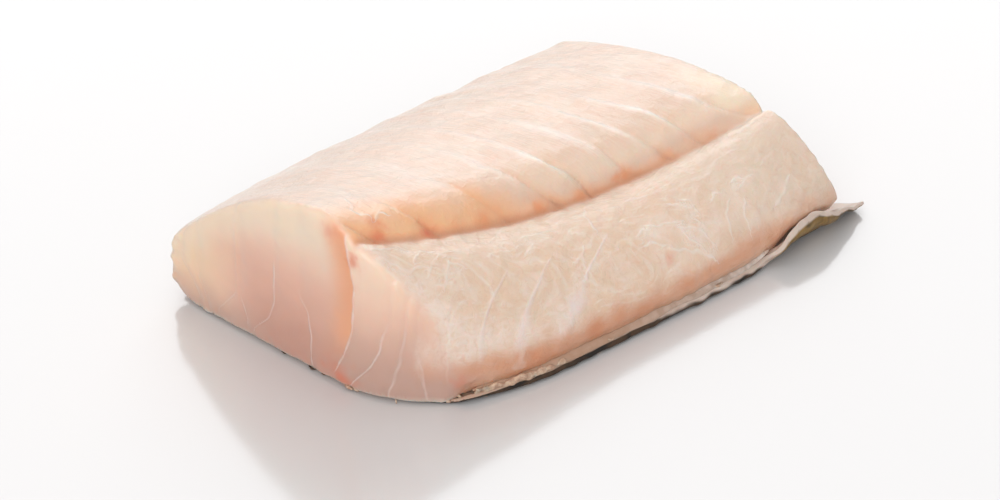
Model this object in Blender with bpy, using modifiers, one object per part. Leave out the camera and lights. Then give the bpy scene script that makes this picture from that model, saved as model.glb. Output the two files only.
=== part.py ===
"""Raw cod: a portion cut across a thick skin-on fillet, lying on its skin.

The block of flesh is thick at one cut and thinner at the other. A groove runs along its
top and parts the high loin from a rounded belly lobe at the front. A thin sheet of skin
lies under the flesh, turns up as a lip along the front and runs on as a small flap
beyond the far cut.

Axes: X runs along the fish, from the near cut to the far cut. Y runs across, from the
front lobe (-Y) to the back edge (+Y). Z points up and the skin lies on Z = 0.
"""
import math

import bmesh
import bpy
import numpy as np

MM = 0.001

# Four values of a driving dimension belong to four stations spaced evenly along the
# length: the near cut, one third, two thirds and the far cut. All are in millimetres.
GROOVE_Y = (-16.2, -17.4, -17.4, -18.3)
GROOVE_HEIGHT = (34.4, 22.5, 18.4, 21.0)
CREST_Y = (-10.5, -8.0, -4.0, -2.0)
CREST_HEIGHT = (38.6, 30.8, 27.0, 25.2)
BACK_EDGE_Y = (36.2, 38.8, 39.4, 40.4)
BACK_EDGE_HEIGHT = (13.6, 16.0, 17.0, 16.4)
LOBE_HEIGHT = (34.8, 23.6, 20.0, 23.4)
FRONT_EDGE_Y = (-38.2, -38.4, -39.5, -37.4)

# How square the shoulder of the loin is: 2 is a parabola, more is boxier.
SHOULDER_POWER = (1.8, 2.8, 2.8, 1.9)
GROOVE_WALL_POWER = 5.0

# The lobe in section: a power of 2 and a root of 0.5 would be a quarter ellipse.
LOBE_POWER = 1.65
LOBE_EDGE_SHARE = 0.985
GROOVE_LIP_SHARE = 0.09
LOBE_ROOT = (0.64, 0.56, 0.56, 0.60)

# The near cut is nearly square to the length, and its front corner is rounded off.
NEAR_CUT_X = -64.78
NEAR_CUT_SLANT = 0.066
CORNER_START_Y = -12.0
CORNER_RADIUS_X = 29.0
CORNER_RADIUS_Y = 25.8
CORNER_RETREAT = 5.4
CORNER_REACH = 0.24
CORNER_RETREAT_POWER = 2.0
CORNER_TIP_Y = FRONT_EDGE_Y[0] + CORNER_RETREAT

# The far cut leans out a little towards the foot of the front lobe.
FAR_CUT_X = 50.3
FAR_CUT_SLANT = 0.04
FAR_CUT_FLARE = 2.6
FAR_CUT_FLARE_START_Y = -22.0

# The skin, and how it leaves the surface that it lies on at its edges.
SKIN_THICKNESS = 0.8
GAP = 0.3
FLESH_BASE = SKIN_THICKNESS + GAP
BACK_RISE = 2.0
BACK_RISE_START_Y = 30.5
BACK_RISE_WIDTH = 8.0
FOOT_INSET = 1.4
FOOT_INSET_REACH = 0.6
LOBE_WALL_HEIGHT = 3.6
LIP_OVERHANG = 1.1
LIP_OVERHANG_START = 0.5
LIP_CURL_POWER = 1.5
LIP_WIDTH = 2.4
LIP_WIDTH_FAR = 6.6
LIP_RISE = 1.5
LIP_RISE_FAR = 3.6
LIP_FAR_START = 0.74
SLOPE_CLEARANCE = 0.5
SKIN_SET_BACK = 0.5
FLAP_LENGTH = 8.6
FLAP_START_Y = -16.0
FLAP_DROOP = 1.6
FLAP_TAPER_POWER = 3.0

# Cells of the two cages.
CELLS_ALONG = 18
CELLS_LOBE = 7
CELLS_LOIN = 10
CELLS_UP = 4
SKIN_CELLS_ACROSS = 14
SKIN_FRONT_POWER = 2.2
EASE_ALONG = 0.5
RIM_CREASE = 0.3
CAGE_SIDE = 0.5
TOUCHING = 1e-4

FLESH_COLOUR = "e6c9b5"
SKIN_COLOUR = "5a4a36"


def along(stations, t):
    """A driving dimension at t, from 0 at the near cut to 1 at the far cut."""
    places = np.linspace(0.0, 1.0, len(stations))
    curve = np.polyfit(places, stations, len(stations) - 1)
    return float(np.polyval(curve, t))


def smooth(x):
    """Goes gently from 0 to 1 as x goes from 0 to 1, and stays level outside."""
    x = min(max(x, 0.0), 1.0)
    return x * x * (3.0 - 2.0 * x)


def even_and_eased(t, ease):
    """t itself, moved by ease towards a cosine spacing that is finer near both ends."""
    return t + ease * (0.5 - 0.5 * math.cos(math.pi * t) - t)


def near_cut_x(y):
    """Where the near cut lies at a place across: straight, then round the corner."""
    straight = NEAR_CUT_X + NEAR_CUT_SLANT * (BACK_EDGE_Y[0] - y)
    turn = min(max((CORNER_START_Y - y) / CORNER_RADIUS_Y, 0.0), 1.0)
    return straight + CORNER_RADIUS_X * (1.0 - math.sqrt(1.0 - turn * turn))


def far_cut_x(y):
    """Where the far cut lies at a place across."""
    flare = smooth((FAR_CUT_FLARE_START_Y - y) / (FAR_CUT_FLARE_START_Y - FRONT_EDGE_Y[3]))
    return FAR_CUT_X + FAR_CUT_SLANT * (BACK_EDGE_Y[3] - y) + FAR_CUT_FLARE * flare


def front_y(t):
    """The front outline: it swings out from the near corner to the long side."""
    retreat = (1.0 - min(t / CORNER_REACH, 1.0)) ** CORNER_RETREAT_POWER
    return along(FRONT_EDGE_Y, t) + CORNER_RETREAT * retreat


def plan(t, across):
    """X and Y at t along and across: -1 at the front, 0 at the groove, 1 at the back."""
    groove = along(GROOVE_Y, t)
    near_edge = CORNER_TIP_Y if across < 0.0 else BACK_EDGE_Y[0]
    near_y = GROOVE_Y[0] + abs(across) * (near_edge - GROOVE_Y[0])
    edge = front_y(t) if across < 0.0 else along(BACK_EDGE_Y, t)
    y = groove + abs(across) * (edge - groove)
    x = near_cut_x(near_y) + t * (far_cut_x(y) - near_cut_x(near_y))
    return x, y


def top_height(t, y):
    """Height of the top of the flesh: the round lobe in front, the loin behind."""
    groove_y, groove_z = along(GROOVE_Y, t), along(GROOVE_HEIGHT, t)
    if y < groove_y:
        r = min((groove_y - y) / (groove_y - front_y(t)) * LOBE_EDGE_SHARE, 1.0)
        fall = (1.0 - r ** LOBE_POWER) ** along(LOBE_ROOT, t)
        lobe = fall * (along(LOBE_HEIGHT, t) - LOBE_WALL_HEIGHT)
        crease = (along(LOBE_HEIGHT, t) - groove_z) * math.exp(-((r / GROOVE_LIP_SHARE) ** 2))
        return LOBE_WALL_HEIGHT + lobe - crease
    crest_y, crest_z = along(CREST_Y, t), along(CREST_HEIGHT, t)
    if y < crest_y:
        s = (crest_y - y) / (crest_y - groove_y)
        return crest_z - (crest_z - groove_z) * s ** GROOVE_WALL_POWER
    back_y, back_z = along(BACK_EDGE_Y, t), along(BACK_EDGE_HEIGHT, t)
    s = (y - crest_y) / (back_y - crest_y)
    return crest_z - (crest_z - back_z) * min(s, 1.0) ** along(SHOULDER_POWER, t)


def towards_flap(t):
    """0 along most of the front, rising to 1 at the far corner."""
    return smooth((t - LIP_FAR_START) / (1.0 - LIP_FAR_START))


def base_height(t, y):
    """Height of the skin's outer side above the surface that it lies on."""
    back = BACK_RISE * smooth((y - BACK_RISE_START_Y) / BACK_RISE_WIDTH)
    rise = LIP_RISE + (LIP_RISE_FAR - LIP_RISE) * towards_flap(t)
    width = LIP_WIDTH + (LIP_WIDTH_FAR - LIP_WIDTH) * towards_flap(t)
    inside = y - (front_y(t) - LIP_OVERHANG)
    return back + rise * max(1.0 - inside / width, 0.0) ** LIP_CURL_POWER


def flesh_point(t, across, up):
    """A point of the flesh's cage, from the underside (up = 0) to the top (up = 1)."""
    x, y = plan(t, across)
    if across < TOUCHING - 1.0:
        y += FOOT_INSET * (1.0 - smooth(up / FOOT_INSET_REACH))
    skin_rise = base_height(t, y)
    under = FLESH_BASE + skin_rise + SLOPE_CLEARANCE * smooth(skin_rise)
    return x, y, under + up * (top_height(t, y) - under)


def skin_point(t, across):
    """A point of the skin's outer side, with the lip in front and the flap at the far end."""
    x, y = plan(t, across)
    if across < 0.0:
        y -= LIP_OVERHANG * smooth((-across - LIP_OVERHANG_START) / (1.0 - LIP_OVERHANG_START))
    flap = smooth((FLAP_START_Y - y) / (FLAP_START_Y - FRONT_EDGE_Y[3]))
    flap *= towards_flap(t) ** FLAP_TAPER_POWER
    x += FLAP_LENGTH * flap + SKIN_SET_BACK * (1.0 - t)
    return x, y, max(base_height(t, y) - FLAP_DROOP * flap, 0.0)


def make_material(name, colour, roughness):
    """A plain Principled material of one colour."""
    material = bpy.data.materials.new(name)
    material.use_nodes = True
    shader = material.node_tree.nodes["Principled BSDF"]
    channels = [int(colour[i:i + 2], 16) / 255.0 for i in (0, 2, 4)]
    linear = [c / 12.92 if c <= 0.04045 else ((c + 0.055) / 1.055) ** 2.4 for c in channels]
    shader.inputs["Base Color"].default_value = (*linear, 1.0)
    shader.inputs["Roughness"].default_value = roughness
    shader.inputs["Metallic"].default_value = 0.0
    return material


def add_object(name, bm, material, collection):
    """Turns a bmesh into a named, smooth-shaded object of the collection."""
    mesh = bpy.data.meshes.new(name)
    bm.to_mesh(mesh)
    bm.free()
    mesh.shade_smooth()
    mesh.materials.append(material)
    thing = bpy.data.objects.new(name, mesh)
    collection.objects.link(thing)
    return thing


def on_side(edge, axis):
    """Whether both ends of a cage edge lie on one of the two cage sides square to an axis."""
    return all(abs(abs(vertex.co[axis]) - CAGE_SIDE) < TOUCHING for vertex in edge.verts)


def edges_along(bm, axis):
    """The edges of an axis-aligned cage that run along one axis."""
    chosen = []
    for edge in bm.edges:
        run = edge.verts[1].co - edge.verts[0].co
        if abs(run[axis]) > 0.5 * run.length:
            chosen.append(edge)
    return chosen


def add_subdivision(thing):
    """One level of Subdivision Surface, the same in the viewport and in a render."""
    soften = thing.modifiers.new("soften", "SUBSURF")
    soften.levels = 1
    soften.render_levels = 1


def make_flesh(material, collection):
    """The block of flesh: a cut-up cube whose points are moved to the fillet's sections."""
    bm = bmesh.new()
    bmesh.ops.create_cube(bm, size=2.0 * CAGE_SIDE)
    for axis, cells in enumerate((CELLS_ALONG, CELLS_LOBE + CELLS_LOIN, CELLS_UP)):
        bmesh.ops.subdivide_edges(bm, edges=edges_along(bm, axis), cuts=cells - 1, use_grid_fill=True)

    crease = bm.edges.layers.float.new("crease_edge")
    for edge in bm.edges:
        if on_side(edge, 0) and (on_side(edge, 1) or on_side(edge, 2)):
            edge[crease] = RIM_CREASE

    groove_column = CELLS_LOBE / (CELLS_LOBE + CELLS_LOIN)
    for vertex in bm.verts:
        t, side, up = (c + CAGE_SIDE for c in vertex.co)
        if side < groove_column:
            across = -even_and_eased(1.0 - side / groove_column, 1.0)
        else:
            across = even_and_eased((side - groove_column) / (1.0 - groove_column), 1.0)
        x, y, z = flesh_point(even_and_eased(t, EASE_ALONG), across, up)
        vertex.co = (x * MM, y * MM, z * MM)

    bmesh.ops.recalc_face_normals(bm, faces=bm.faces)
    add_subdivision(add_object("flesh", bm, material, collection))


def make_skin(material, collection):
    """The skin: a grid bent to the underside of the flesh, thickened upwards."""
    bm = bmesh.new()
    bmesh.ops.create_grid(bm, x_segments=CELLS_ALONG, y_segments=SKIN_CELLS_ACROSS, size=CAGE_SIDE)
    for vertex in bm.verts:
        t = vertex.co.x + CAGE_SIDE
        side = vertex.co.y / CAGE_SIDE
        if side < 0.0:
            across = (side + 1.0) ** SKIN_FRONT_POWER - 1.0
        else:
            across = even_and_eased(side, 1.0)
        x, y, z = skin_point(even_and_eased(t, EASE_ALONG), across)
        vertex.co = (x * MM, y * MM, z * MM)

    skin = add_object("skin", bm, material, collection)
    add_subdivision(skin)
    thicken = skin.modifiers.new("thickness", "SOLIDIFY")
    thicken.thickness = SKIN_THICKNESS * MM
    thicken.offset = 1.0


def main():
    for thing in list(bpy.data.objects):
        bpy.data.objects.remove(thing)
    portion = bpy.data.collections.new("raw_cod_portion")
    bpy.context.scene.collection.children.link(portion)
    make_flesh(make_material("flesh", FLESH_COLOUR, 0.35), portion)
    make_skin(make_material("skin", SKIN_COLOUR, 0.45), portion)


main()
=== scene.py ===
# %% [markdown]
# # A portion of raw cod, skin side down
#
# The portion was cut straight across a thick fillet. It has a high loin, a groove where the
# two big muscles part, and a rounded belly lobe in front with a thin film over it. This
# notebook takes the plain solids as its frame and gives each surface the look that its
# making left on it: sawn by a knife, pulled off the bone, or grown against the skin.

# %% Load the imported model
import math
import random

import bmesh
import bpy
import numpy as np
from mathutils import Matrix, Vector, noise


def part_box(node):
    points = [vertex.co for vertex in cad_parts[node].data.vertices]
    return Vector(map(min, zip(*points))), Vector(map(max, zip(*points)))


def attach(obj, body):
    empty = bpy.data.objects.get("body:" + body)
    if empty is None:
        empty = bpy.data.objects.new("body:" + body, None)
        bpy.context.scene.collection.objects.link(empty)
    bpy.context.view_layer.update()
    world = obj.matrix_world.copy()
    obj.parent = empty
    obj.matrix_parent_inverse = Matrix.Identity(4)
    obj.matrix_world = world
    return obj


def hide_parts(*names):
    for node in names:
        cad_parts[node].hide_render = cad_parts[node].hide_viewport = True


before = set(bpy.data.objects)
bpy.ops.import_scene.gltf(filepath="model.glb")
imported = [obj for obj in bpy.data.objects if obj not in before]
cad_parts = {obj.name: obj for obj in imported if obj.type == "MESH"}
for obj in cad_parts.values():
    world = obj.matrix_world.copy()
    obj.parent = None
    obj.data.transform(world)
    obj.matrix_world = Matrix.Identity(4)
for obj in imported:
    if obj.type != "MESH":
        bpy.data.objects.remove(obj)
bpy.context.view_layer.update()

MM = 0.001
scene = bpy.context.scene
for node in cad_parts:
    low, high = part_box(node)
    print(node, "from", tuple(round(c / MM, 1) for c in low), "to", tuple(round(c / MM, 1) for c in high))

# %% [markdown]
# ## The camera
#
# Food on a table is mostly seen from above and a little to one side. A long lens keeps the
# far end of the portion from looking small, as a studio camera does from half a metre.

# %% Place the camera
CAMERA_HEIGHT_ANGLE = math.radians(31.0)
CAMERA_SIDE_ANGLE = math.radians(-43.0)
CAMERA_DISTANCE = 570.0
LOOKS_AT = (-9.0, -2.5, 11.0)
FRAME_WIDTH = 1000.0
RAISED_IN_FRAME = 25.0

towards_camera = Vector((
    math.sin(CAMERA_SIDE_ANGLE) * math.cos(CAMERA_HEIGHT_ANGLE),
    -math.cos(CAMERA_SIDE_ANGLE) * math.cos(CAMERA_HEIGHT_ANGLE),
    math.sin(CAMERA_HEIGHT_ANGLE)))
lens = bpy.data.cameras.new("camera")
lens.lens = 100.0
lens.shift_y = -RAISED_IN_FRAME / FRAME_WIDTH
camera = bpy.data.objects.new("camera", lens)
camera.location = (Vector(LOOKS_AT) + CAMERA_DISTANCE * towards_camera) * MM
camera.rotation_euler = towards_camera.to_track_quat("Z", "Y").to_euler()
scene.collection.objects.link(camera)
scene.camera = camera
print("camera at", tuple(round(c, 3) for c in camera.location))

# %% [markdown]
# ## Soft steps, ripples and spots
#
# Every relief and every change of colour on the fish is a soft step, a random ripple, a spot,
# or a mix of them. They could be painted by hand, but as formulas they can be placed in
# millimetres and come out the same each time. The helpers work on whole arrays of points, so
# a mesh of a hundred thousand points stays quick.

# %% Soft steps, random ripples and spots
def step(value, start, end):
    """Goes smoothly from 0 at start to 1 at end. Start may be above end."""
    share = np.clip((value - start) / (end - start), 0.0, 1.0)
    return share * share * (3.0 - 2.0 * share)


def ripple(points, size, seed=0.0):
    """Soft random relief from about -1 to 1, whose bumps are size millimetres across."""
    shift = Vector((17.3 * seed, 5.1 * seed, -11.7 * seed))
    return np.array([noise.noise(Vector(p) / size + shift) for p in points])


def spot(points, centre, radius):
    """1 at a place and fading unevenly to 0 round it, with a radius in millimetres."""
    gap = np.linalg.norm(points - np.array(centre), axis=1)
    close = np.flatnonzero(gap < 4.0 * radius)
    shade = np.zeros(len(points))
    uneven = 1.0 + 0.7 * ripple(points[close], 0.9 * radius, centre[0])
    shade[close] = np.exp(-((gap[close] / radius * uneven) ** 2))
    return shade


# %% [markdown]
# ## Small tools for meshes
#
# A solid comes as loose triangles, so a copy of it is joined up before anything is done to it.
# Points are read and written as whole arrays. Averaging each point with its neighbours, again
# and again, is how a sculptor's smoothing brush works.

# %% Copy, read, write and smooth a mesh
def merged_copy(node, name):
    """A copy of a CAD node as a new object, with its loose triangles joined up."""
    bm = bmesh.new()
    bm.from_mesh(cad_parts[node].data)
    bmesh.ops.remove_doubles(bm, verts=bm.verts, dist=0.001 * MM)
    mesh = bpy.data.meshes.new(name)
    bm.to_mesh(mesh)
    bm.free()
    thing = bpy.data.objects.new(name, mesh)
    scene.collection.objects.link(thing)
    return thing


def keep_what_modifiers_make(thing):
    """Swaps an object's mesh for the one that its modifiers make, and drops them."""
    shown = thing.evaluated_get(bpy.context.evaluated_depsgraph_get())
    thing.data = bpy.data.meshes.new_from_object(shown)
    thing.modifiers.clear()


def read_points(mesh):
    """Places and normals of a mesh's points, the places in millimetres."""
    places = np.zeros(len(mesh.vertices) * 3)
    mesh.vertices.foreach_get("co", places)
    normals = np.zeros(len(mesh.vertices) * 3)
    mesh.vertex_normals.foreach_get("vector", normals)
    return places.reshape(-1, 3) / MM, normals.reshape(-1, 3)


def write_points(mesh, places):
    """Moves a mesh's points to places given in millimetres."""
    mesh.vertices.foreach_set("co", (places * MM).ravel())
    mesh.update()


def smooth_points(mesh, passes, chosen=None):
    """Averages each point with its neighbours, or only the points whose numbers are chosen."""
    bm = bmesh.new()
    bm.from_mesh(mesh)
    bm.verts.ensure_lookup_table()
    verts = bm.verts if chosen is None else [bm.verts[number] for number in chosen]
    for _ in range(passes):
        bmesh.ops.smooth_vert(bm, verts=verts, factor=0.5, use_axis_x=True, use_axis_y=True, use_axis_z=True)
    bm.to_mesh(mesh)
    bm.free()


def write_mask(mesh, name, values):
    """Stores one number a point under a name that a material can read."""
    mask = mesh.attributes.new(name, "FLOAT", "POINT")
    mask.data.foreach_set("value", np.asarray(values, dtype=np.float32))


# %% [markdown]
# ## An even mesh for the flesh
#
# The solid has few, large facets. Relief as fine as a flake edge needs small, even ones, so
# a copy is rebuilt from half-millimetre voxels. That leaves tiny stairs, which a few passes
# of smoothing take out. Sculptors start in the same way.

# %% Rebuild the flesh from voxels
VOXEL = 0.54
SMOOTH_PASSES = 9

flesh = merged_copy("flesh", "cod_flesh")
voxels = flesh.modifiers.new("voxels", "REMESH")
voxels.mode = "VOXEL"
voxels.voxel_size = VOXEL * MM
keep_what_modifiers_make(flesh)

smooth_points(flesh.data, SMOOTH_PASSES)
places, normals = read_points(flesh.data)
print("flesh mesh:", len(places), "points,", 2 * len(flesh.data.polygons), "triangles")

# %% [markdown]
# ## Where is which surface?
#
# A fillet's surfaces were made in different ways, so each gets a mask from 0 to 1: the two
# knife cuts, the wall of the groove, the film over the lobe, and the top of the loin, where
# the flakes show. They could be painted, but the masks are worked out from the same few
# measures as the solid, so they always fit it. The near cut is straight behind and turns
# round the lobe in front, where the knife came out.

# %% Measures of the portion, in millimetres
GROOVE_PLAN = ((-61.0, -16.6), (-21.0, -17.4), (15.0, -17.4), (52.0, -18.3))
GROOVE_HEIGHT = ((-61.0, 33.8), (-44.0, 27.4), (-23.0, 22.6), (-6.0, 19.6), (14.0, 18.5), (34.0, 19.6),
                 (52.0, 20.7))
WALL_HEIGHT = ((-61.0, 3.5), (-45.0, 8.0), (-20.0, 7.5), (10.0, 5.0), (52.0, 4.0))
BACK_EDGE_Y = 36.2
NEAR_CUT_X = -64.78
NEAR_CUT_SLANT = 0.066
CORNER_START_Y = -12.0
CORNER_RADIUS_X = 29.0
CORNER_RADIUS_Y = 25.8
FAR_CUT_X = 50.3
FAR_CUT_SLANT = 0.04
FAR_CUT_SLANT_FROM_Y = 41.5
FAR_CUT_FLARE = 2.6
FAR_CUT_FLARE_Y = (-22.0, -36.2)
NEAR_RIM = (2.2, 0.4)
FAR_RIM = (0.9, 0.25)
LOBE_CORNER_CUT = 1.2


def near_cut_x(across_fish):
    """Where the near cut stands along the fish, with its round corner round the lobe."""
    turned = np.clip((CORNER_START_Y - across_fish) / CORNER_RADIUS_Y, 0.0, 0.95)
    straight = NEAR_CUT_X + NEAR_CUT_SLANT * (BACK_EDGE_Y - across_fish)
    return straight + CORNER_RADIUS_X * (1.0 - np.sqrt(1.0 - turned ** 2))


# %% Masks of the surfaces
x, y, z = places.T
groove_y = np.interp(x, *zip(*GROOVE_PLAN))
across = y - groove_y

turn = np.clip((CORNER_START_Y - y) / CORNER_RADIUS_Y, 0.0, 0.95)
corner_slope = CORNER_RADIUS_X / CORNER_RADIUS_Y * turn / np.sqrt(1.0 - turn ** 2)
behind_near_cut = (x - near_cut_x(y)) / np.sqrt(1.0 + corner_slope ** 2)
far_x = FAR_CUT_X + FAR_CUT_SLANT * (FAR_CUT_SLANT_FROM_Y - y) + FAR_CUT_FLARE * step(y, *FAR_CUT_FLARE_Y)
before_far_cut = far_x - x

lobe_corner = step(z, 22.0, 12.0) * step(z, 2.0, 9.0) * step(y, -24.0, -30.0)
near_cut = step(behind_near_cut + LOBE_CORNER_CUT * lobe_corner, *NEAR_RIM)
far_cut = step(before_far_cut, *FAR_RIM)
cut = np.maximum(near_cut, far_cut)
underside = step(-normals[:, 2], 0.5, 0.8)
open_side = (1.0 - cut) * (1.0 - underside)
above_groove = z - np.interp(x, *zip(*GROOVE_HEIGHT))
wall_share = above_groove / np.interp(x, *zip(*WALL_HEIGHT))
wall = open_side * step(across, -1.2, 0.0) * step(across, 9.0, 6.0) * step(wall_share, 1.25, 0.55)
film = open_side * step(across, 0.0, -1.0)
loin_top = open_side * step(across, 0.5, 3.0) * (1.0 - wall)
print("share of points on the cuts:", round(float(cut.mean()), 2))
print("share of points under the film:", round(float(film.mean()), 2))

# %% [markdown]
# ## The round shoulder above the groove
#
# Where the loin rolls over into the groove, soft muscle sags into a round shoulder. A bevel
# would need an edge to follow, and the solid has only a row of facets there. So the points of
# that strip alone are smoothed many times, which melts the facets into one curve.

# %% Round the shoulder
SHOULDER_PASSES = 80
SHOULDER_FROM, SHOULDER_TO = 0.8, 16.0
SHOULDER_FOOT = 0.3

on_shoulder = (open_side > 0.9) & (across > SHOULDER_FROM) & (across < SHOULDER_TO)
on_shoulder &= wall_share > SHOULDER_FOOT
smooth_points(flesh.data, SHOULDER_PASSES, np.flatnonzero(on_shoulder))
places, normals = read_points(flesh.data)
x, y, z = places.T
print("points rounded on the shoulder:", int(on_shoulder.sum()))

# %% [markdown]
# ## Flakes
#
# Fish muscle is a stack of bent sheets, the flakes, each about 12 mm thick in a big cod. On
# the loin their edges show as long bows that leave the groove, sweep back along the fish and
# run out to the back edge. One number, the flake phase, counts them: it is a whole number on
# each edge. The flake before an edge stands a little proud, and its end in the groove is
# round like a scallop.

# %% Count the flakes along the loin
FLAKE_STARTS = (-54.0, -39.0, -20.0, -7.0, 3.0, 16.0, 25.0, 35.5, 49.0, 61.0)
FLAKE_STRENGTH = (0.1, 0.2, 0.35, 0.55, 1.0, 0.7, 0.9, 1.0, 0.9, 0.4)
FLAKE_SPACING = 12.0
FLAKE_SWEEP = 5.5
FLAKE_SWEEP_REACH = 3.0
FLAKE_LEAN = 0.26


def count(place, starts):
    """Counts up by one at each start, evenly between them and beyond the last ones."""
    starts = np.array(starts)
    ends = len(starts) - 1
    inside = np.interp(place, starts, np.arange(len(starts)))
    return inside + np.minimum(place - starts[0], 0.0) / FLAKE_SPACING + \
        np.maximum(place - starts[ends], 0.0) / FLAKE_SPACING


over = np.maximum(across, 0.0)
flake_place = x + FLAKE_SWEEP * (1.0 - np.exp(-over / FLAKE_SWEEP_REACH)) + FLAKE_LEAN * over
flake_place = flake_place + 2.2 * ripple(places, 17.0, 1.0) + 0.5 * ripple(places, 4.0, 2.0)
flake_phase = count(flake_place, FLAKE_STARTS)
flake_share = flake_phase - np.floor(flake_phase)
flake_number = np.floor(flake_phase).astype(int)
edge_behind = np.array(FLAKE_STRENGTH)[np.clip(flake_number, 0, len(FLAKE_STRENGTH) - 1)]
edge_ahead = np.array(FLAKE_STRENGTH)[np.clip(flake_number + 1, 0, len(FLAKE_STRENGTH) - 1)]
print("flakes on the loin:", int(flake_phase.max() - flake_phase.min()))

# %% [markdown]
# ## Septa on the cut face
#
# A septum is the thin white sheet between two flakes. The knife crosses it, so it shows as a
# fine pale line. The lines are given across and up, in millimetres, from the lobe in front
# to the back edge, each with the height over which it shows. Between two lines the phase
# runs from one whole number to the next, so a material can draw each line sharp and thin.

# %% Septa of the near cut: points (across, up), then where each shows and how strongly
SEPTA = (
    (((-29.2, 0.0), (-28.9, 2.2), (-28.5, 8.7), (-27.8, 14.0)), (1.0, 10.0), 0.6),
    (((-22.4, 0.0), (-24.3, 5.3), (-25.5, 10.5), (-26.1, 17.0), (-26.4, 22.0)), (1.0, 16.0), 0.7),
    (((-13.5, 0.0), (-15.9, 2.8), (-19.8, 6.7), (-21.5, 10.2), (-23.2, 16.5), (-24.0, 22.0)),
     (2.0, 15.0), 0.85),
    (((-10.0, 1.0), (-12.8, 5.0), (-15.9, 11.4), (-17.1, 18.9), (-17.4, 24.8), (-16.9, 28.5), (-15.3, 34.0)),
     (4.0, 36.0), 1.0),
    (((-4.8, 0.0), (-5.1, 3.1), (-5.4, 8.9), (-4.8, 14.7), (-2.7, 17.0)), (2.0, 15.0), 0.95),
    (((12.2, 2.0), (10.8, 3.7), (6.7, 7.5), (4.6, 12.6), (4.3, 18.0), (4.2, 26.0)), (2.5, 20.0), 0.85),
    (((13.2, 2.0), (12.6, 4.0), (14.6, 9.3)), (3.0, 8.5), 0.65),
    (((22.0, 2.5), (21.5, 3.5), (15.6, 9.3)), (3.0, 9.0), 0.5),
    (((24.0, 3.0), (25.0, 5.0), (27.5, 9.0)), (3.0, 8.0), 0.5),
    (((27.0, 4.0), (28.5, 7.0), (32.0, 11.0)), (4.0, 10.0), 0.45),
)
FAR_CUT_LOWER = 38.0 / 25.0
SEPTUM_SOFTNESS = 25


def smooth_line(points, heights):
    """How far across a septum lies at each height, as a soft curve through its points."""
    rise = np.arange(-4.0, 44.0, 0.1)
    bent = np.interp(rise, *zip(*((h, c) for c, h in points)))
    padded = np.pad(bent, SEPTUM_SOFTNESS // 2, mode="edge")
    soft = np.convolve(padded, np.ones(SEPTUM_SOFTNESS) / SEPTUM_SOFTNESS, "valid")
    return np.interp(heights, rise, soft)


# %% Count the septa across the cut
cut_height = np.where(x < 0.0, z, z * FAR_CUT_LOWER) + 0.5 * ripple(places, 6.0, 3.0)
wavy_y = y + 0.35 * ripple(places, 3.5, 4.0)
line_y = [smooth_line(points, cut_height) for points, _, _ in SEPTA]
septum_phase = np.zeros(len(places))
septum_gap = np.full(len(places), FLAKE_SPACING)
for before, after in zip(line_y[:-1], line_y[1:]):
    gap = np.maximum(after - before, 0.5)
    septum_phase += np.clip((wavy_y - before) / gap, 0.0, 1.0)
    septum_gap = np.where((wavy_y > before) & (wavy_y <= after), gap, septum_gap)
septum_phase += np.minimum(wavy_y - line_y[0], 0.0) / FLAKE_SPACING
septum_phase += np.maximum(wavy_y - line_y[-1], 0.0) / FLAKE_SPACING

nearest = np.clip(np.rint(septum_phase).astype(int), 0, len(SEPTA) - 1)
first, last, strength = (np.array(v)[nearest] for v in (
    [s[1][0] for s in SEPTA], [s[1][1] for s in SEPTA], [s[2] for s in SEPTA]))
septum_show = strength * step(cut_height, first - 1.0, first + 0.5) * step(cut_height, last + 4.0, last - 1.0)
septum_show *= 0.75 + 0.5 * ripple(places, 3.0, 21.0)
septum_width = 0.24 + 0.1 * ripple(places, 4.0, 22.0)
print("septa on the cut:", len(SEPTA))

# %% [markdown]
# ## Septa through the film of the lobe
#
# On the lobe the same sheets meet the surface at a slant and shine through the film, thin
# near the groove and spreading into pale, faintly violet fans towards the foot. They are
# counted in the same way as on the cut, so one material draws them all.

# %% Septa of the lobe
LOBE_SEPTA = (-61.0, -48.0, -35.2, -22.5, -7.8, 6.0, 19.0, 32.0, 45.0, 58.0)
LOBE_STRENGTH = (0.0, 0.2, 0.95, 1.25, 1.2, 0.2, 0.1, 0.1, 0.2, 0.1)
LOBE_SLANT = 2.1
LOBE_SLANT_FROM_Y = -30.0
LOBE_GAP = 7.2

lobe_place = x - LOBE_SLANT * (y - LOBE_SLANT_FROM_Y) + 1.0 * ripple(places, 7.0, 5.0)
lobe_phase = count(lobe_place, LOBE_SEPTA)
lobe_nearest = np.clip(np.rint(lobe_phase).astype(int), 0, len(LOBE_SEPTA) - 1)
lobe_show = np.array(LOBE_STRENGTH)[lobe_nearest] * step(y, -27.5, -29.5) * step(z, 7.0, 11.0)
lobe_show *= 0.8 + 0.5 * ripple(places, 4.0, 23.0)
lobe_width = 0.3 + 1.9 * step(y, -32.5, -36.5) * (0.5 + 0.5 * ripple(places, 4.0, 24.0))

on_film = film > 0.5
septum_phase = np.where(on_film, lobe_phase, septum_phase)
septum_gap = np.where(on_film, LOBE_GAP, septum_gap)
septum_show = np.where(on_film, lobe_show, septum_show * cut)
septum_width = np.where(on_film, lobe_width, septum_width)
print("septa on the lobe:", len(LOBE_SEPTA), "of which show well:", sum(s > 0.5 for s in LOBE_STRENGTH))

# %% [markdown]
# ## Folds of torn film
#
# The film over the lobe tore when the fillet was pulled. Its torn rims lie as fine white
# folds, some where the knife went and many short ones along the lobe. Modelled as threads
# they would float like hairs, so each fold is a line in the plan, and each point of the flesh
# keeps how far beside the nearest one it lies. The material then draws the line.

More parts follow.
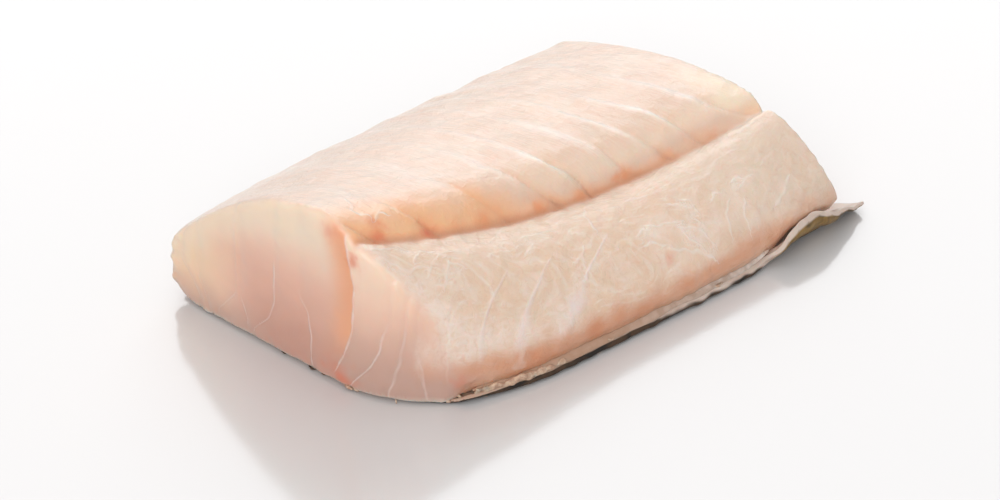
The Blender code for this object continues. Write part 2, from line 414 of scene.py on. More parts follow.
# %% Lay the folds
FOLDS = (
    ((2.5, -30.5), (4.5, -29.8), (6.4, -30.3)), ((6.1, -29.4), (8.5, -30.3), (10.5, -30.2), (14.4, -31.6)),
    ((2.5, -32.7), (4.6, -32.4), (6.0, -33.0), (8.0, -34.7)), ((8.0, -34.7), (10.0, -35.2), (13.7, -36.6)),
    ((13.7, -36.6), (15.4, -37.2), (17.1, -38.2)), ((17.7, -32.3), (18.4, -33.2), (18.6, -34.2)),
    ((13.0, -32.3), (15.8, -33.0), (17.9, -35.0), (18.4, -36.6)),
    ((13.0, -32.3), (13.4, -34.6), (15.9, -36.8)),
    ((14.9, -27.8), (16.5, -28.4), (18.6, -30.0)), ((17.7, -27.7), (19.6, -28.6), (19.4, -31.0)),
    ((24.1, -30.4), (26.0, -29.6), (27.5, -29.9)), ((32.8, -30.7), (34.4, -30.2), (36.6, -30.0)),
    ((31.8, -29.2), (33.6, -28.8), (34.6, -30.0)), ((45.6, -32.9), (42.4, -34.5), (38.0, -35.8)),
    ((28.0, -32.0), (25.5, -33.6), (24.0, -36.4)), ((31.5, -33.0), (29.5, -35.0), (29.0, -37.0)),
    ((-60.5, -16.4), (-58.0, -18.9), (-54.0, -19.2), (-51.2, -18.7), (-48.7, -20.7)),
    ((-55.3, -21.9), (-52.6, -24.0), (-49.5, -23.6), (-47.1, -24.4)),
    ((-57.6, -21.3), (-55.6, -24.8), (-53.8, -28.2)),
    ((-50.0, -22.6), (-46.5, -20.6), (-43.0, -21.6)), ((-46.8, -27.5), (-42.5, -24.0), (-40.0, -25.6)),
    ((-55.1, -10.3), (-54.1, -12.1), (-52.8, -12.6)), ((-51.6, -13.5), (-50.0, -12.6), (-48.6, -13.0)),
    ((-52.6, -5.9), (-53.2, -8.0), (-54.1, -9.7)), ((-10.6, -28.6), (-12.0, -29.6), (-15.0, -30.6)),
    ((-12.0, -29.6), (-12.6, -31.0), (-14.4, -33.6)), ((-2.0, -20.0), (-4.6, -22.4), (-5.2, -26.0)),
)
FOLD_STRENGTH = 0.55
RANDOM_FOLDS = 46
RANDOM_STRENGTH = (0.1, 0.4)
FOLD_SEED = 5
FOLD_REACH = 1.5

chance = random.Random(FOLD_SEED)
folds = [(fold, FOLD_STRENGTH) for fold in FOLDS]
for _ in range(RANDOM_FOLDS):
    at_x, at_y = chance.uniform(-56.0, 46.0), chance.uniform(-37.0, -19.0)
    long, bend, turn_by = chance.uniform(1.5, 4.5), chance.uniform(-0.8, 0.8), chance.uniform(-0.5, 0.25)
    ends = ((-long, turn_by * long), (0.0, bend), (long, -turn_by * long))
    folds.append(([(at_x + a, at_y + b) for a, b in ends], chance.uniform(*RANDOM_STRENGTH)))
print("folds of film:", len(folds))

# %% Measure how far each point lies beside the nearest fold
fold_off = np.full(len(places), 9.0)
fold_show = np.zeros(len(places))
plan = places[:, :2] + 0.4 * np.stack([ripple(places, 1.6, 31.0), ripple(places, 1.6, 32.0)], axis=1)
for fold, strength in folds:
    for start, end in zip(np.array(fold[:-1]), np.array(fold[1:])):
        middle, run = (start + end) / 2.0, end - start
        length = np.linalg.norm(run)
        close = np.flatnonzero((np.abs(plan - middle).max(axis=1) < length / 2.0 + FOLD_REACH) & (z > 4.0))
        off = plan[close] - start
        share = np.clip(off @ run / length ** 2, 0.0, 1.0)
        gap = np.linalg.norm(off - share[:, None] * run, axis=1)
        side_of = np.sign(off[:, 0] * run[1] - off[:, 1] * run[0])
        nearer = gap < np.abs(fold_off[close])
        fold_off[close[nearer]] = (gap * side_of)[nearer]
        fold_show[close[nearer]] = strength
fold_show *= step(np.abs(fold_off), FOLD_REACH, 0.8 * FOLD_REACH) * (1.0 - cut)
fold_show *= 0.8 + 0.6 * ripple(places, 2.0, 33.0)
fold_off = np.clip(fold_off, -FOLD_REACH, FOLD_REACH)
print("share of points by a fold:", round(float((fold_show > 0.05).mean()), 2))

# %% [markdown]
# ## Which way the fibres run
#
# Muscle fibres run across the loin within each flake, and along the lobe under its film. A
# noise texture alone has no direction. Two measures per point, across the fibres and along
# them, let the material stretch its noise the right way on each part.

# %% Measure across and along the fibres
ALONG_LOBE = 0.8

fibre_across = np.where(on_film, ALONG_LOBE * (z - y) + 1.2 * ripple(places, 8.0, 34.0), flake_place)
fibre_along = np.where(on_film, x, y)
print("fibres across from", round(float(fibre_across.min())), "to", round(float(fibre_across.max())), "mm")

# %% [markdown]
# ## Relief
#
# Wet flesh is never flat. The flakes step, the groove wall is scalloped, the knife left the
# cut a little uneven and its back corner ragged, and the film has soft dents. A bump in the
# material would leave the outline smooth, so these are real. Each relief is a height in
# millimetres along the surface's own normal, and they are added up and applied at once.

# %% Shapes of the relief: where it is and how it swells
SCALLOP_ROUND = 2.6
BACK_WAVE_LENGTH = 6.0

flake_rise = edge_ahead * step(flake_share, 0.1, 0.8) * step(flake_share, 1.0, 0.76)
flake_show = np.clip(0.75 + 0.9 * ripple(places, 11.0, 6.0), 0.1, 1.0)
flake_show *= 0.22 + 0.78 * step(across, 30.0, 5.0)
scallop = np.clip(1.0 - np.abs(2.0 * flake_share - 1.0) ** SCALLOP_ROUND, 0.0, 1.0) ** 0.7
scallop_show = 0.6 + 0.8 * ripple(places, 9.0, 36.0)
wall_band = open_side * step(across, -1.2, 0.6) * step(across, 12.0, 4.0) * step(wall_share, 2.2, 0.5)
near_back = step(across, 46.0, 54.0)
back_wave = ripple(places * np.array((1.0, 0.3, 0.3)), BACK_WAVE_LENGTH, 7.0)
lip = step(across, -0.3, -1.0) * step(across, -3.6, -1.6)
septum_share = np.abs(septum_phase - np.rint(septum_phase))
print("share of points on the wall of the groove:", round(float((wall_band > 0.5).mean()), 2))

# %% Heights of the relief, in millimetres
FLAKE_STEP = 0.8
LOIN_WAVES = 0.3
LOIN_GRAIN = 0.14
SCALLOP_DEPTH = 1.3
SCALLOP_MIDDLE = 0.7
WALL_LUMPS = 0.35
CUT_UNEVEN = 0.22
SEPTUM_SINK = 0.22
FILM_DENTS = 0.35
FILM_GRAIN = 0.2
BACK_WAVES = 0.45
BACK_CORNER_RAGGED = 0.6
FOOT_RAGGED = 0.35

height = loin_top * (FLAKE_STEP * flake_rise * flake_show + LOIN_WAVES * ripple(places, 9.0, 8.0))
height += loin_top * LOIN_GRAIN * ripple(places, 2.6, 9.0)
height += wall_band * SCALLOP_DEPTH * scallop_show * (scallop - SCALLOP_MIDDLE)
height += wall_band * WALL_LUMPS * ripple(places, 3.5, 10.0)
height += film * lip * (0.25 + 0.45 * ripple(places, 4.0, 25.0))
height += near_back * open_side * BACK_WAVES * back_wave
height += cut * CUT_UNEVEN * (ripple(places, 7.0, 11.0) + 0.5 * ripple(places, 2.2, 12.0))
height += cut * SEPTUM_SINK * (step(septum_share, 0.0, 0.3) - 0.6)
height += near_cut * near_back * BACK_CORNER_RAGGED * (ripple(places, 1.5, 37.0) - 0.3)
height += film * (FILM_DENTS * ripple(places, 8.0, 13.0) + FILM_GRAIN * ripple(places, 2.4, 14.0))
height += step(z, 4.0, 1.5) * (1.0 - underside) * FOOT_RAGGED * ripple(places, 1.8, 15.0)
print("relief from", round(float(height.min()), 2), "to", round(float(height.max()), 2), "mm")

# %% [markdown]
# ## Push the points, and let the ends give
#
# Cut flesh swells a little where nothing holds it: both muscles bulge at the thin end, the
# ridge of the lobe rises there, and the cut hangs down to the skin. By the flap the foot
# stands clear of the skin. Each is a small push along one axis, faded in over millimetres.

# %% Apply the relief and the pushes
FOOT_OF_CUT = 0.35
LOIN_END_OUT = 1.1
LOBE_END_OUT = 1.2
LOBE_TOP_UP = 0.9
ARCH_LIFT = 2.0

shaped = places + normals * height[:, None]
foot_drop = near_cut * step(z, 5.0, 1.0)
shaped[:, 2] -= foot_drop * np.maximum(shaped[:, 2] - FOOT_OF_CUT, 0.0) * step(z, 3.0, 1.2)
shaped[:, 2] = np.maximum(shaped[:, 2], FOOT_OF_CUT)
far_end = step(before_far_cut, 9.0, 0.0)
loin_end = step(across, -1.0, 2.0) * step(z, 12.0, 19.0)
shaped[:, 0] += far_end * LOIN_END_OUT * loin_end * (1.0 + 0.3 * step(across, 9.0, 3.0))
lobe_foot_end = step(y, -28.0, -36.0) * step(z, 14.0, 5.0)
shaped[:, 0] += far_end * LOBE_END_OUT * lobe_foot_end
shaped[:, 2] += LOBE_TOP_UP * step(x, 34.0, 50.0) * step(across, -1.0, -3.0) * step(across, -12.0, -6.0)
by_flap = step(x, 33.0, 41.0) * step(x, 55.0, 47.0)
shaped[:, 2] += ARCH_LIFT * by_flap * step(y, -31.0, -36.0) * step(z, 11.0, 4.0)
write_points(flesh.data, shaped)
flesh.data.shade_smooth()
print("furthest push:", round(float(np.linalg.norm(shaped - places, axis=1).max()), 2), "mm")

# %% [markdown]
# ## Where the colour changes
#
# Raw cod is pale, but not one colour: the groove wall is orange, partly with painted shade
# that deepens low in the groove, in its creases and in painted warm hollows under the flake
# ends; the cut is pink, paler near its top and darker and greyer low down; the strip beside
# the main septum and the foot of the lobe are warm, and a few cut vessels leave red spots.
# Loose film shows as a pale haze, with painted highlights by the near cut. Painted highlights
# also run along the flake rims, painted shade lies in the dips behind them, and painted light
# lifts the upper wall. They could be painted on an image, but masks made of places stay sharp
# at any zoom. Each spot has a place, a radius and a strength.

# %% Places of the spots, in millimetres
BLOOD_SPOTS = (
    ((-61.4, -11.9, 35.0), 1.2, 0.5), ((-60.6, -17.2, 30.3), 1.2, 0.7), ((-60.8, -16.9, 31.8), 0.9, 0.5),
    ((-60.9, -13.4, 2.6), 2.5, 0.8), ((-52.6, -13.9, 34.6), 0.9, 0.45), ((-53.2, -15.9, 32.4), 1.5, 0.5),
    ((-41.0, -16.6, 28.6), 1.2, 0.9), ((6.7, -35.7, 11.4), 1.2, 0.4), ((-47.5, -32.6, 5.0), 1.6, 0.45),
)
# Pale patches of loose film; those by the near cut are also painted highlights.
HAZE_AND_HIGHLIGHT_SPOTS = (
    ((-49.7, -30.1, 18.4), 3.5, 0.9), ((-52.5, -27.0, 24.0), 3.0, 0.7), ((-49.0, -31.5, 11.5), 3.0, 0.7),
    ((-46.0, -33.6, 12.5), 3.0, 0.7), ((-39.0, -34.8, 12.5), 2.8, 0.6), ((-33.0, -35.4, 12.0), 3.0, 0.8),
    ((-22.3, -36.4, 11.5), 3.2, 0.9), ((-19.0, -35.2, 13.5), 2.6, 0.7), ((-25.0, -36.8, 10.0), 2.6, 0.7),
    ((15.4, -34.4, 12.3), 2.8, 1.0), ((10.5, -31.0, 15.6), 2.6, 0.8), ((5.5, -31.0, 15.6), 2.4, 0.8),
    ((18.5, -29.5, 16.3), 2.4, 0.8), ((33.8, -29.9, 16.2), 2.8, 0.8), ((29.0, -33.0, 14.2), 3.2, 0.7),
    ((42.4, -34.3, 12.8), 2.6, 0.7), ((23.0, -34.0, 13.4), 3.0, 0.7), ((9.0, -36.0, 10.5), 3.0, 0.6),
)
# Painted warm shade in the hollows of the groove, under the ends of the flakes.
HOLLOW_SHADE_SPOTS = (
    ((-52.9, -15.8, 33.0), 2.0, 0.7), ((-41.3, -16.6, 28.9), 2.2, 0.8), ((-34.2, -16.8, 26.9), 2.0, 0.35),
    ((-26.5, -17.0, 24.6), 2.4, 0.75), ((-11.7, -17.1, 21.8), 2.0, 0.9), ((-0.7, -17.3, 20.0), 1.9, 0.9),
    ((12.7, -16.8, 19.9), 2.0, 0.9), ((24.4, -16.8, 19.8), 1.8, 0.5), ((37.8, -17.6, 19.6), 1.8, 0.4),
)
GLINTS = (
    ((-2.7, -1.7, 28.3), 3.0, 0.5), ((-4.8, -8.3, 28.3), 3.0, 0.7), ((-3.4, -12.8, 26.6), 2.6, 0.9),
    ((-1.1, -15.6, 23.4), 2.0, 0.7), ((-31.3, -12.1, 31.2), 1.6, 0.8), ((-28.8, -14.3, 29.3), 1.4, 0.8),
    ((-26.4, -16.0, 26.8), 1.4, 0.8), ((-49.5, -30.5, 17.5), 3.5, 0.8), ((-50.5, -28.5, 21.5), 3.0, 0.6),
)


def spots(points, given):
    """The sum of all spots in a list."""
    return sum(strength * spot(points, place, radius) for place, radius, strength in given)


blood = spots(shaped, BLOOD_SPOTS)
hollow_shade = open_side * step(across, -0.9, 0.1) * spots(shaped, HOLLOW_SHADE_SPOTS)
print("spots: red", len(BLOOD_SPOTS), "orange", len(HOLLOW_SHADE_SPOTS), "haze_and_highlight", len(HAZE_AND_HIGHLIGHT_SPOTS), "glints", len(GLINTS))

# %% Warm colours of the wall and the foot, painted shade in the wall, creases and flake dips, painted highlights on the flake rims
WARM_FOOT = ((-48.0, 11.5), (-35.0, 12.0), (-15.0, 10.5), (6.0, 10.0), (30.0, 11.5), (45.0, 12.0),
             (55.0, 10.5))
WALL_REACH = ((-60.0, 1.3), (-35.0, 1.15), (-15.0, 0.7), (5.0, 0.45))

blotch = ripple(shaped, 5.0, 16.0)
foot_height = np.interp(x, *zip(*WARM_FOOT)) + 1.5 * blotch
foot = film * step(z, foot_height, foot_height - 5.0) * (0.85 + 0.3 * blotch)
foot *= 1.0 - 0.2 * step(x, -5.0, 15.0) - 0.4 * step(x, 34.0, 48.0)
wall_reach = np.interp(x, *zip(*WALL_REACH)) * (1.0 + 0.35 * blotch)
in_crease = 1.0 - scallop
# The wall's orange is partly its own colour and partly painted shade, deepest low in the groove and in the
# creases between the scallops.
wall_orange_and_shade = wall_band * np.clip(step(wall_share / wall_reach, 1.6, 0.1) + 0.5 * in_crease, 0.0, 1.0)
wall_orange_and_shade *= 1.0 - 0.45 * step(x, -25.0, -8.0)
# Flake rims: a painted highlight along the end of each raised flake, where its edge catches the light.
flake_rim_highlight = loin_top * edge_ahead * flake_show * step(flake_share, 0.62, 0.86) * step(flake_share, 1.0, 0.9)
# Flake dips: painted shade just behind each flake edge, in the dip under the raised flake.
flake_dip_shade = open_side * step(across, -0.5, 0.5) * step(across, 20.0, 3.0) * edge_behind * flake_show
flake_dip_shade *= step(flake_share, 0.35, 0.0)
# Painted shade along the bottom of the groove and in the creases between the scallops.
crease_shade = open_side * np.exp(-((across + 0.1) / 0.9) ** 2) * step(above_groove, 3.0, 0.5)
crease_shade += 0.45 * wall_band * in_crease * step(wall_share, 1.3, 0.2)
thin_end = 1.0 - 0.55 * step(x, 12.0, 34.0) - 0.3 * step(x, 36.0, 46.0)
crease_shade, wall_orange_and_shade = crease_shade * thin_end, wall_orange_and_shade * thin_end
far_film = film * step(x + 4.0 * blotch, 12.0, 36.0) * step(z, 5.0, 9.0)
print("share of points that are warm:", round(float((foot + wall_orange_and_shade > 0.3).mean()), 2))

# %% Pinks and greys inside the cuts
MAIN_SEPTUM = 3

beside_septum = wavy_y - line_y[MAIN_SEPTUM]
wave_y = y + 2.5 * ripple(places, 11.0, 26.0)
loin_side = step(beside_septum, -0.2, 0.2)
inside_cut = np.where(x < 0.0, cut, cut * step(before_far_cut, 1.0, 0.3))
strip = cut * step(beside_septum, -0.2, 0.3) * step(beside_septum, 7.5, 0.5) * step(cut_height, 5.0, 16.0)
strip *= inside_cut
pink = inside_cut * step(wave_y, 29.0, 10.0) * step(cut_height, 33.0, 17.0) * loin_side
lobe_pink = inside_cut * (1.0 - loin_side) * step(z, 36.0, 8.0)
deep = inside_cut * step(cut_height + 2.0 * blotch, 20.0, 5.0) * step(wave_y, 16.0, 4.0) * loin_side
deep += 0.5 * inside_cut * (1.0 - loin_side) * step(z + blotch, 16.0, 2.0)
grey = inside_cut * (1.0 - loin_side) * step(z + 2.0 * blotch, 25.0, 2.0)
grey += 0.8 * inside_cut * loin_side * step(wave_y, 3.0, 13.0) * step(z + blotch, 11.0, 2.0)
print("share of points that are pink:", round(float((pink > 0.3).mean()), 2))

# %% Pale top of the cut, painted light on the upper wall, cream edges, haze with painted highlights, and glints
at_near_cut = np.flatnonzero((near_cut > 0.5) & (x < 0.0))
top_y = np.arange(-14.0, 38.0, 2.0)
top_z = [z[at_near_cut][np.abs(y[at_near_cut] - at) < 1.5].max() for at in top_y]
below_top = np.interp(y, top_y, top_z) - z
pale_and_painted_light = 0.8 * inside_cut * (x < 0.0) * loin_side * step(wave_y, -13.0, -4.0)
pale_and_painted_light *= step(below_top + 2.0 * blotch, 11.0, 2.0)
# Painted light that lifts the upper groove wall out of its shade.
pale_and_painted_light += 0.75 * wall_band * step(wall_share, 0.4, 1.0) * step(x, -22.0, -6.0)
loin_end_strip = step(before_far_cut, 12.0, 3.0) * step(across, 0.8, 4.0) * step(across, 24.0, 12.0)
pale_and_painted_light += 0.85 * open_side * loin_end_strip
cream = cut * step(wave_y, 10.0, 23.0)
cream += open_side * step(before_far_cut, 7.0, 1.5) * step(across, 8.0, 2.0) * (across > 0)
# Pale haze of loose film, plus painted highlights along the lobe's ridge by the near cut and on the lobe's
# top by the near end.
haze_and_highlight = 0.8 * spots(shaped, HAZE_AND_HIGHLIGHT_SPOTS) + 0.8 * step(behind_near_cut, 6.0, 2.0) * step(z, 8.0, 13.0)
haze_and_highlight += 0.4 * step(across, -12.0, -3.0) * step(x, -50.0, -35.0)
haze_and_highlight = film * np.clip(haze_and_highlight, 0.0, 1.0)
glint = 0.3 + 0.6 * step(x, -24.0, -4.0) + 2.0 * spots(shaped, GLINTS)
print("share of points under haze:", round(float((haze_and_highlight > 0.3).mean()), 2))

# %% Store the masks, and the measures that the lines and the fibres need
SHARES = {
    "cut": cut, "film": film, "far_film": far_film, "haze_and_highlight": haze_and_highlight, "wall": wall_orange_and_shade, "hollow_shade": hollow_shade,
    # warm: the lobe's warm foot plus painted shade in the groove's creases.
    "warm": foot + 0.8 * crease_shade, "blood": blood, "flake_rim_highlight": flake_rim_highlight, "flake_dip_shade": flake_dip_shade,
    "strip": strip, "pink": pink + 0.75 * lobe_pink, "deep": deep, "grey": grey, "cream": cream,
    "pale_and_painted_light": pale_and_painted_light, "pale_rim": near_cut * step(shaped[:, 2], 1.6, 0.7),
    # Pale streaks along the fibres, partly pale fibres and partly painted glints.
    "streaks_and_glints": film * (1.0 - 0.4 * far_film) + 0.6 * loin_top,
}
MEASURES = {
    "fibre_across": fibre_across, "fibre_along": fibre_along, "septum_phase": septum_phase,
    "septum_gap": septum_gap, "septum_show": septum_show, "septum_width": septum_width,
    "fold_off": fold_off, "fold_show": fold_show, "glint": glint,
}
for name, share in SHARES.items():
    write_mask(flesh.data, name, np.clip(share, 0.0, 1.0))
for name, measure in MEASURES.items():
    write_mask(flesh.data, name, measure)
print("stored:", ", ".join((*SHARES, *MEASURES)))

# %% [markdown]
# ## Small tools for materials
#
# Colours are written as sRGB hex values, as a paint chart gives them, and turned to the
# linear values that the shader adds and multiplies. One helper adds a node, sets it and
# fills its inputs.

# %% Colours and nodes
def linear(hex_colour):
    """An sRGB hex colour as linear red, green, blue and alpha."""
    channels = [int(hex_colour[i:i + 2], 16) / 255.0 for i in (1, 3, 5)]
    return (*(c / 12.92 if c <= 0.04045 else ((c + 0.055) / 1.055) ** 2.4 for c in channels), 1.0)


def add_node(tree, kind, inputs, output=0, **settings):
    """Adds a node, sets it, fills its inputs with values or links, and returns an output."""
    node = tree.nodes.new("ShaderNode" + kind)
    for name, value in settings.items():
        setattr(node, name, value)
    for name, value in inputs.items():
        if isinstance(value, bpy.types.NodeSocket):
            tree.links.new(value, node.inputs[name])
        else:
            node.inputs[name].default_value = value
    return node.outputs[output]


def new_material(name):
    """A material with its node tree and its Principled shader."""
    material = bpy.data.materials.new(name)
    material.use_nodes = True
    return material, material.node_tree, material.node_tree.nodes["Principled BSDF"]


def tint(tree, colour, layers):
    """Lays tints over a colour, each a mask from 0 to 1 and the colour that it brings."""
    for mask, hex_colour in layers:
        colour = add_node(tree, "Mix", {0: mask, 6: colour, 7: linear(hex_colour)}, 2, data_type="RGBA")
    return colour


# %% [markdown]
# ## Raw white fish
#
# Fresh cod is wet muscle: light goes in, scatters a few millimetres through pink and comes
# out soft, and a film of water gives small sharp glints. So the shader has subsurface
# scattering, a refractive index near water's, and a coat that is smoother than the flesh.
# Fibres run in bundles of about half a millimetre and some millimetres long, and the film
# wrinkles at 1 to 2 mm. The textures read the flesh's own place, so they stay on it.

# %% Fibres, wrinkles and clouds of the flesh, sizes in millimetres
FIBRE = 0.45
FIBRE_LENGTH = 4.0
WRINKLE = 1.6
CLOUD = 9.0

flesh_finish, tree, shader = new_material("raw_white_fish_muscle")
mask = {name: add_node(tree, "Attribute", {}, 2, attribute_name=name) for name in (*SHARES, *MEASURES)}
place = add_node(tree, "TexCoord", {}, 3)
in_mm = add_node(tree, "VectorMath", {0: place, 1: (1000.0, 1000.0, 1000.0)}, operation="MULTIPLY")
cloud = add_node(tree, "TexNoise", {"Vector": in_mm, "Scale": 1.0 / CLOUD, "Detail": 3.0})
wrinkle = add_node(tree, "TexNoise", {
    "Vector": in_mm, "Scale": 1.0 / WRINKLE, "Detail": 4.0, "Distortion": 1.2})

fibre_run = add_node(tree, "CombineXYZ", {
    0: add_node(tree, "Math", {0: mask["fibre_across"], 1: 1.0 / FIBRE}, operation="MULTIPLY"),
    1: add_node(tree, "Math", {0: mask["fibre_along"], 1: 1.0 / FIBRE_LENGTH}, operation="MULTIPLY")})
fibre = add_node(tree, "TexNoise", {"Vector": fibre_run, "Scale": 1.0, "Detail": 2.0, "Distortion": 0.6})
print("fibres", FIBRE, "by", FIBRE_LENGTH, "mm, wrinkles", WRINKLE, "mm, clouds", CLOUD, "mm")

# %% [markdown]
# ## Thin pale lines
#
# A septum and a fold of film are both thinner than half a millimetre, so their shape hardly
# shows, but their line does. A painted line would blur. Here each point knows its distance
# from the line, and the material turns that into a pale line with soft edges at any zoom.

# %% Lines of the septa and the folds
FOLD_WIDTH = 0.42

septum_off = add_node(tree, "Math", {
    0: add_node(tree, "Math", {0: mask["septum_phase"], 1: 0.5}, operation="PINGPONG"),
    1: mask["septum_gap"]}, operation="MULTIPLY")
septum_line = add_node(tree, "MapRange", {
    0: add_node(tree, "Math", {0: septum_off, 1: mask["septum_width"]}, operation="DIVIDE"),
    1: 0.1, 2: 1.5, 3: 0.65, 4: 0.0}, interpolation_type="SMOOTHSTEP")
septum_mask = add_node(tree, "Math", {0: septum_line, 1: mask["septum_show"]}, operation="MULTIPLY")

fold_line = add_node(tree, "MapRange", {
    0: add_node(tree, "Math", {0: mask["fold_off"]}, operation="ABSOLUTE"),
    1: 0.05, 2: FOLD_WIDTH, 3: 1.0, 4: 0.0}, interpolation_type="SMOOTHSTEP")
fold_mask = add_node(tree, "Math", {0: fold_line, 1: mask["fold_show"]}, operation="MULTIPLY")
print("folds drawn", FOLD_WIDTH, "mm wide to each side")

# %% [markdown]
# ## Colours of the flesh
#
# The plain muscle is a warm off-white. Every other colour is a tint laid over it through its
# mask, the broad ones first and the thin lines last, as a painter glazes. One list of masks
# and colours keeps that order plain and easy to change.

# %% Lay the tints, from the plain muscle to the thin lines
# Strengths of the painted shade in the flake dips and the painted highlight on the flake rims.
FLAKE_DIP_SHADE = 0.3
FLAKE_RIM_HIGHLIGHT = 0.85

warm_cloud = add_node(tree, "MapRange", {0: cloud, 1: 0.35, 2: 0.7, 3: 0.0, 4: 0.7})
# Pale streaks along the fibres: partly pale fibres, partly painted glints.
pale_streaks_and_glints = add_node(tree, "MapRange", {0: fibre, 1: 0.45, 2: 0.7, 3: 0.0, 4: 0.75})
warm_fleck = add_node(tree, "MapRange", {0: wrinkle, 1: 0.5, 2: 0.7, 3: 0.0, 4: 0.35})
haze_grain = add_node(tree, "MapRange", {0: wrinkle, 1: 0.35, 2: 0.6, 3: 0.25, 4: 0.85})
haze_and_highlight_mask = add_node(tree, "Math", {0: haze_grain, 1: mask["haze_and_highlight"]}, operation="MULTIPLY")
pale_streaks_and_glints = add_node(tree, "Math", {0: pale_streaks_and_glints, 1: mask["streaks_and_glints"]}, operation="MULTIPLY")
warm_fleck = add_node(tree, "Math", {0: warm_fleck, 1: mask["film"]}, operation="MULTIPLY")
flake_dip_shade_tint = add_node(tree, "Math", {0: mask["flake_dip_shade"], 1: FLAKE_DIP_SHADE}, operation="MULTIPLY")
flake_rim_highlight_tint = add_node(tree, "Math", {0: mask["flake_rim_highlight"], 1: FLAKE_RIM_HIGHLIGHT}, operation="MULTIPLY")
plain_muscle = add_node(tree, "RGB", {})
plain_muscle.default_value = linear("#e9ceba")
tints = (
    (warm_cloud, "#eac4ad"), (mask["film"], "#ecd0b8"), (mask["far_film"], "#e9d2bd"),
    # Pale fibre streaks, partly painted glints, and warm flecks in the film's wrinkles.
    (pale_streaks_and_glints, "#f3e1d2"), (warm_fleck, "#e2bb9f"),
    (mask["cut"], "#fedfc8"), (mask["cream"], "#fbd6b6"), (mask["pink"], "#e9b9a4"),
    (mask["deep"], "#d1a08e"), (mask["grey"], "#cba798"),
    # The wall's orange is partly painted shade, the hollow spots are painted shade, and the warm tint is the
    # lobe's foot plus painted shade in the creases.
    (mask["wall"], "#ffc598"), (mask["hollow_shade"], "#f4a271"), (mask["warm"], "#d99874"),
    (mask["strip"], "#efb08b"), (mask["blood"], "#e4805f"),
    # Painted shade in the flake dips, painted highlights on the flake rims, and a pale tint, partly painted
    # light on the upper wall.
    (flake_dip_shade_tint, "#f0bf9a"), (flake_rim_highlight_tint, "#fff4ec"), (mask["pale_and_painted_light"], "#ffe3cb"),
    # Pale film haze with painted highlights, then the septa and the folds.
    (haze_and_highlight_mask, "#f7e4d7"), (septum_mask, "#f3e1da"), (fold_mask, "#f8ebe2"),
    (mask["pale_rim"], "#eadfd2"),
)
tree.links.new(tint(tree, plain_muscle, tints), shader.inputs["Base Color"])
print("tints on the flesh:", len(tints))

# %% [markdown]
# ## Gloss, scattering and fine relief of the flesh
#
# Knife-cut flesh is matt and smooth, while the pulled surfaces keep a wet, finely ridged film
# that glitters in patches. So the fine ridges bump only the coat, where the glints are, and
# the muscle under it gets a softer bump.

# %% Finish the flesh
GLINT_PATCH = 6.0

not_cut = add_node(tree, "MapRange", {0: mask["cut"], 1: 0.0, 2: 1.0, 3: 1.0, 4: 0.15})
patch = add_node(tree, "TexNoise", {"Vector": in_mm, "Scale": 1.0 / GLINT_PATCH, "Detail": 1.0})
glinting = add_node(tree, "Math", {
    0: add_node(tree, "MapRange", {0: patch, 1: 0.45, 2: 0.65, 3: 0.12, 4: 1.0}),
    1: add_node(tree, "Math", {0: not_cut, 1: mask["glint"]}, operation="MULTIPLY")}, operation="MULTIPLY")
soft_relief = add_node(tree, "Math", {0: wrinkle, 1: not_cut}, operation="MULTIPLY")
lines = add_node(tree, "Math", {0: septum_mask, 1: fold_mask}, operation="ADD")
relief = add_node(tree, "Math", {0: soft_relief, 1: lines}, operation="ADD")
bump = add_node(tree, "Bump", {"Height": relief, "Strength": 0.45, "Distance": 0.45 * MM})
wet = add_node(tree, "Math", {0: fibre, 1: glinting}, operation="MULTIPLY")
water = add_node(tree, "Bump", {"Height": wet, "Strength": 0.9, "Distance": 0.5 * MM, "Normal": bump})
tree.links.new(bump, shader.inputs["Normal"])
tree.links.new(water, shader.inputs["Coat Normal"])
shader.inputs["Roughness"].default_value = 0.36
shader.inputs["IOR"].default_value = 1.38
shader.inputs["Subsurface Weight"].default_value = 0.7
shader.inputs["Subsurface Radius"].default_value = (1.0, 0.55, 0.4)
shader.inputs["Subsurface Scale"].default_value = 2.2 * MM
shader.inputs["Coat Weight"].default_value = 0.65
shader.inputs["Coat Roughness"].default_value = 0.2
shader.inputs["Coat IOR"].default_value = 1.34
flesh.data.materials.clear()
flesh.data.materials.append(flesh_finish)
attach(flesh, "root")
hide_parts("flesh")
print("finished", flesh.name, "in", flesh_finish.name)

# %% [markdown]
# ## The skin
#
# The skin is a thin sheet. Its outer side is dark brown with darker mottling and fine scales,
# golden by the flap; along the foot its dark shows up to a set height, partly the skin and
# partly painted shade, and low on the flap it stays brown as painted shade under the arch. Its
# inner side and its rim are silvery, and browner towards the near cut. It could be drawn as a
# new sheet, but a copy of the solid already lies in the right place. It is subdivided, its
# free rim is made wavy, because the knife pulls thin skin, and the lip and the flap are
# pushed to how they hang.

# %% Subdivide the skin
skin = merged_copy("skin", "cod_skin")
finer = skin.modifiers.new("finer", "SUBSURF")
finer.levels = 2
finer.render_levels = 2
keep_what_modifiers_make(skin)
skin_places, skin_normals = read_points(skin.data)
sx, sy, sz = skin_places.T
print("skin mesh:", len(skin_places), "points")

# %% Push the rim, the lip and the flap
SKIN_WAVE = 0.35
SKIN_WAVE_LENGTH = 3.2
SKIN_HIDDEN = 1.8
FLAP_LIFT = 2.5
FLAP_WIDER = 0.9
LIP_IN = 1.3
FOOT_OUT = 1.0
ARCH_OUT = 2.2
ARCH_UP = 1.0

